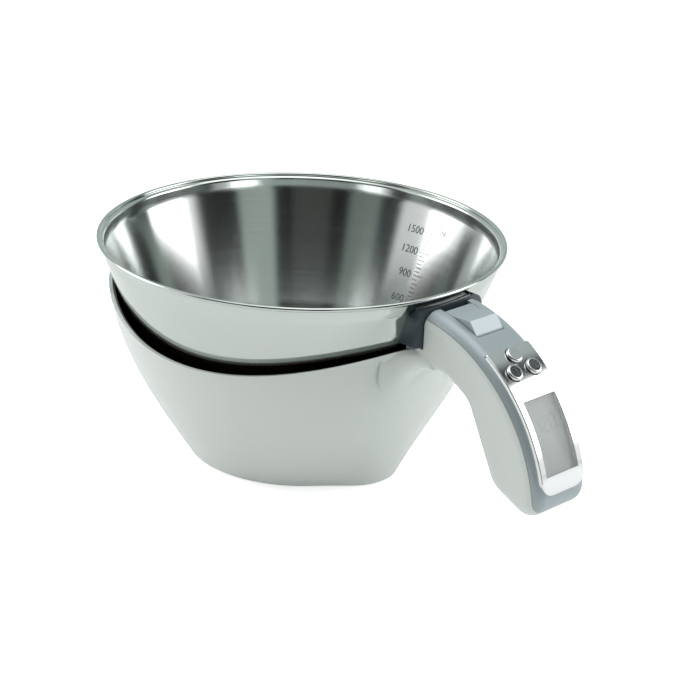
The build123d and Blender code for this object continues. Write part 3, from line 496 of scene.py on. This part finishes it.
# %% Spin the bowl
LIP_RADIUS, LIP_HEIGHT, BEAD = 0.10399, 0.11499, 0.0011
WALL_TOP, WALL_RADIUS, SLOPE = 0.1075, 0.1008, 0.375
BOWL_FLOOR, BOWL_CORNER, GAUGE = 0.020, 0.045, 0.0008
SPIN_STEPS = 240
SEAM_GAP = 1e-6
wall_gauge = GAUGE * math.sqrt(1 + SLOPE**2)


def inner_radius(z):
    """Radius of the bowl's inner wall at height z."""
    return WALL_RADIUS - SLOPE * (WALL_TOP - z) - wall_gauge


def full_spin(bm, geometry):
    """Turn part of a bmesh once round the z axis, and join the seam."""
    bmesh.ops.spin(
        bm, geom=geometry, cent=(0, 0, 0), axis=(0, 0, 1), dvec=(0, 0, 0), angle=2 * math.pi,
        steps=SPIN_STEPS, use_merge=True, use_duplicate=False,
    )
    bmesh.ops.remove_doubles(bm, verts=bm.verts, dist=SEAM_GAP)


def piece_from(bm, name, finishes, body, smooth=True):
    """Finish a bmesh as a piece that rides on a body."""
    mesh = bpy.data.meshes.new(name)
    bm.to_mesh(mesh)
    bm.free()
    mesh.polygons.foreach_set("use_smooth", [smooth] * len(mesh.polygons))
    piece = bpy.data.objects.new(name, mesh)
    bpy.context.scene.collection.objects.link(piece)
    for finish in finishes:
        mesh.materials.append(finish)
    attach(piece, body)
    print(name, len(mesh.polygons), "faces")
    return piece


corner_turn = math.atan2(1.0, SLOPE)
CORNERS = [
    # distance from the axis, height, rounding radius, turn of the line there
    (0.0, BOWL_FLOOR, 0.0, 0.0),
    (inner_radius(BOWL_FLOOR), BOWL_FLOOR, BOWL_CORNER, corner_turn),
    (inner_radius(WALL_TOP), WALL_TOP, 0.012, 0.28),
    (inner_radius(WALL_TOP) + 0.0004, LIP_HEIGHT - 0.0026, 0.0015, 0.9),
    (LIP_RADIUS - BEAD, LIP_HEIGHT - BEAD + 0.0003, 0.0, 0.0),
]
bowl = bmesh.new()
line = [bowl.verts.new((x, 0.0, z)) for x, z, _, _ in CORNERS]
for a, b in zip(line, line[1:]):
    bowl.edges.new((a, b))
for vertex, (_, _, radius, turn) in zip(line, CORNERS):
    if radius:
        bmesh.ops.bevel(
            bowl, geom=[vertex], offset=radius * math.tan(turn / 2), offset_type="OFFSET", segments=14,
            profile=0.5, affect="VERTICES", material=-1, clamp_overlap=False,
        )
full_spin(bowl, bowl.verts[:] + bowl.edges[:] + bowl.faces[:])
bmesh.ops.recalc_face_normals(bowl, faces=bowl.faces)
if sum(f.normal.z for f in bowl.faces) < 0:
    bmesh.ops.reverse_faces(bowl, faces=bowl.faces)
bmesh.ops.solidify(bowl, geom=bowl.faces[:], thickness=GAUGE)
bead = bmesh.ops.create_circle(bowl, segments=20, radius=BEAD)["verts"]
bmesh.ops.rotate(bowl, verts=bead, matrix=Matrix.Rotation(math.radians(90), 3, "X"))
bmesh.ops.translate(bowl, verts=bead, vec=(LIP_RADIUS - BEAD, 0, LIP_HEIGHT - BEAD))
bead_edges = list({e for v in bead for e in v.link_edges})
full_spin(bowl, bead + bead_edges)
for face in bowl.faces:
    middle = face.calc_center_median()
    inward = Vector((-middle.x, -middle.y, 0)).normalized() + Vector((0, 0, 1))
    near_bead = math.hypot(middle.x, middle.y) > LIP_RADIUS - 2.2 * BEAD
    face.material_index = 0 if face.normal.dot(inward) > 0.05 and not near_bead else 1
print("bowl points", len(bowl.verts), "top", round(max(v.co.z for v in bowl.verts), 5))

# %% [markdown]
# Light on brushed steel is drawn out across the scratches. The Principled shader calls this anisotropy, and
# it needs to know which way the scratches run. Here they run round the axis, so the tangent is the piece's
# own position crossed with the axis, and the highlight becomes a band from rim to floor. The outside has no
# direction at all.

# %% Steel finishes
bowl_brushed, tree, shader = brushed_metal(
    "bowl_brushed", (0.70, 0.73, 0.715), 0.17, (12.0, 12.0, 2600.0), swing=0.10, depth=1.2e-6, streak=0.16,
    Anisotropic=0.82, Anisotropic_Rotation=0.25,
)
place = add_node(tree, "ShaderNodeTexCoord")
round_axis = add_node(tree, "ShaderNodeVectorMath", operation="CROSS_PRODUCT")
round_axis.inputs[0].default_value = (0, 0, 1)
link(tree, place.outputs["Object"], round_axis.inputs[1])
unit = add_node(tree, "ShaderNodeVectorMath", operation="NORMALIZE")
link(tree, round_axis.outputs[0], unit.inputs[0])
link(tree, unit.outputs[0], shader.inputs["Tangent"])

bowl_polished = moulded(
    "bowl_polished", (0.64, 0.68, 0.65), 0.10, swing=0.05, grain=900.0, depth=3e-7, dirt=0.03,
    metallic=1.0,
)
steel = piece_from(bowl, "bowl_shell", [bowl_brushed, bowl_polished], "bowl")
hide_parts("steel_bowl")

# %% [markdown]
# ## The volume marks
# The marks are etched, so they are flat and dark and follow the wall. Letters can be wrapped with a
# Shrinkwrap modifier. Here a text is turned into a mesh first, and each of its points is then laid on the
# cone by two numbers: how far along the wall, and how high.

# %% Lay flat shapes on the wall
MARKS_ANGLE = math.radians(92.0)
MARK_DEPTH = 0.00012
MARK_HEIGHTS = {600: 0.0589, 900: 0.0721, 1200: 0.0842, 1500: 0.0947}


def on_wall(along, height):
    """Point on the inner wall: along runs to the reader's right, in metres from the marks' own line."""
    radius = inner_radius(height) - MARK_DEPTH
    angle = MARKS_ANGLE - along / radius
    return Vector((radius * math.cos(angle), radius * math.sin(angle), height))


def text_mesh(words, size):
    """A flat mesh of a text, lower left corner at the origin."""
    letters = bpy.data.curves.new("letters", "FONT")
    letters.body, letters.size = words, size
    letters.resolution_u = 3
    holder = bpy.data.objects.new("letters", letters)
    bpy.context.scene.collection.objects.link(holder)
    bpy.context.view_layer.update()
    mesh = bpy.data.meshes.new_from_object(holder.evaluated_get(bpy.context.evaluated_depsgraph_get()))
    bpy.data.objects.remove(holder)
    return mesh


marks = bmesh.new()
NUMBER_SIZE, NUMBER_END = 0.0056, -0.0022


def add_words(words, size, left, middle):
    """Letters laid on the wall, starting at left, centred on a height."""
    mesh = text_mesh(words, size)
    first = len(marks.verts)
    marks.from_mesh(mesh)
    marks.verts.ensure_lookup_table()
    added = marks.verts[first:]
    wide = max(v.co.x for v in added)
    tall = max(v.co.y for v in added)
    start = left if left >= 0 else left - wide
    for v in added:
        v.co = on_wall(start + v.co.x, middle + (v.co.y - tall / 2))


def add_line(left, long, height, thick=0.00035):
    """A short line laid on the wall."""
    made = bmesh.ops.create_grid(marks, x_segments=3, y_segments=1, size=0.5)["verts"]
    for v in made:
        v.co = on_wall(left + (v.co.x + 0.5) * long, height + v.co.y * thick)


volumes = sorted(MARK_HEIGHTS)
for volume, height in MARK_HEIGHTS.items():
    add_words(str(volume), NUMBER_SIZE, NUMBER_END, height)
add_words("ml", NUMBER_SIZE * 0.8, 0.0095, MARK_HEIGHTS[1500] + 0.0028)
for low, high in zip(volumes, volumes[1:]):
    steps = (high - low) // 50
    for step in range(steps + (high == volumes[-1])):
        height = MARK_HEIGHTS[low] + (MARK_HEIGHTS[high] - MARK_HEIGHTS[low]) * step / steps
        add_line(0.0, (0.0062, 0.0030, 0.0042)[0 if step % steps == 0 else 1 + (step % 2 == 0)], height)
etched = moulded("etched_mark", (0.16, 0.17, 0.17), 0.55, grain=2000.0, depth=1e-6, dirt=0.4, metallic=0.6)
volume_marks = piece_from(marks, "volume_marks", [etched], "bowl", smooth=False)

# %% [markdown]
# ## The digits of the display
# A liquid crystal digit is seven bars. Each bar is a six-sided shape stretched thin, so that neighbours
# meet at a point, and a table says which bars a digit lights. The reading is a made-up weight.

# %% Seven bars
DIGIT_TALL, DIGIT_WIDE, BAR = 0.0072, 0.0036, 0.0008
DIGIT_LIFT = 0.00004
glass_faces = nodes["display_glass"].data.polygons
widest = max((face for face in glass_faces if face.normal.x > 0.3), key=lambda face: face.area)
outward = widest.normal.copy()
glass_top = [face for face in glass_faces if face.normal.dot(outward) > 0.999]
glass_x = [nodes["display_glass"].data.vertices[i].co.x for face in glass_top for i in face.vertices]
glass_z = [nodes["display_glass"].data.vertices[i].co.z for face in glass_top for i in face.vertices]
middle_of_glass = Vector(((min(glass_x) + max(glass_x)) / 2, 0, (min(glass_z) + max(glass_z)) / 2))
display_middle = middle_of_glass + outward * DIGIT_LIFT
down_handle = Vector((outward.z, 0, -outward.x))
across = Vector((0, 1, 0))
print("glass faces out", [round(v, 3) for v in outward], "middle", [round(v, 4) for v in display_middle])
BARS = {
    # bar: place across, place up, lies flat
    "a": (0.0, 0.5, True), "g": (0.0, 0.0, True), "d": (0.0, -0.5, True),
    "f": (-0.5, 0.25, False), "b": (0.5, 0.25, False), "e": (-0.5, -0.25, False), "c": (0.5, -0.25, False),
}
LIT = {"1": "bc", "2": "abged", "0": "abcdef", "5": "afgcd"}
digits = bmesh.new()


def add_bar(right, upward, long, flat, thick=BAR):
    """One six-sided bar on the glass, placed by metres across and up from the display's middle."""
    made = bmesh.ops.create_circle(digits, cap_ends=True, segments=6, radius=0.5)["verts"]
    for v in made:
        u, w = v.co.x * long, v.co.y * thick
        u, w = (u, w) if flat else (w, u)
        v.co = display_middle + across * (right + u) - down_handle * (upward + w)


def add_digit(figure, right, upward, scale=1.0):
    for bar in LIT[figure]:
        x, y, flat = BARS[bar]
        long = (DIGIT_WIDE if flat else DIGIT_TALL / 2) * 0.94 * scale
        add_bar(right + x * DIGIT_WIDE * scale, upward + y * DIGIT_TALL * scale, long, flat, BAR * scale)


for figure, right_of_middle in zip("120", (-0.0046, 0.0008, 0.0062)):
    add_digit(figure, right_of_middle, 0.0050)
for figure, right_of_middle in zip("05", (-0.0058, -0.0030)):
    add_digit(figure, right_of_middle, -0.0036, 0.42)
bmesh.ops.recalc_face_normals(digits, faces=digits.faces)
for face in digits.faces:
    if face.normal.dot(outward) < 0:
        face.normal_flip()
digit_grey = moulded("digit_grey", (0.22, 0.27, 0.28), 0.35, grain=3000.0, depth=5e-7, dirt=0.2)
display_digits = piece_from(digits, "display_digits", [digit_grey], "cradle", smooth=False)

# %% [markdown]
# ## The page
# The scale stands on white paper that runs out of sight, so a large plane is enough. A picture is exposed
# so that its paper comes out plain white. More lamps would do that too, but they would wash out the cradle,
# so the paper glows for the camera and only faintly for the object.

# %% Floor
GLOW_SEEN, GLOW_LIT = 0.50, 0.15
page_white = moulded(
    "page_white", (0.90, 0.90, 0.90), 0.6, grain=400.0, depth=1e-6, dirt=0.01,
    Emission_Color=(1, 1, 1, 1),
)
tree = page_white.node_tree
seen = add_node(tree, "ShaderNodeLightPath")
glow = math_node(
    tree, "ADD", math_node(tree, "MULTIPLY", seen.outputs["Is Camera Ray"], GLOW_SEEN), GLOW_LIT,
)
link(tree, glow, tree.nodes["Principled BSDF"].inputs["Emission Strength"])
floor_mesh = bpy.data.meshes.new("floor")
sheet = bmesh.new()
bmesh.ops.create_grid(sheet, x_segments=2, y_segments=2, size=8.0)
sheet.to_mesh(floor_mesh)
sheet.free()
floor = bpy.data.objects.new("floor", floor_mesh)
bpy.context.scene.collection.objects.link(floor)
floor.data.materials.append(page_white)
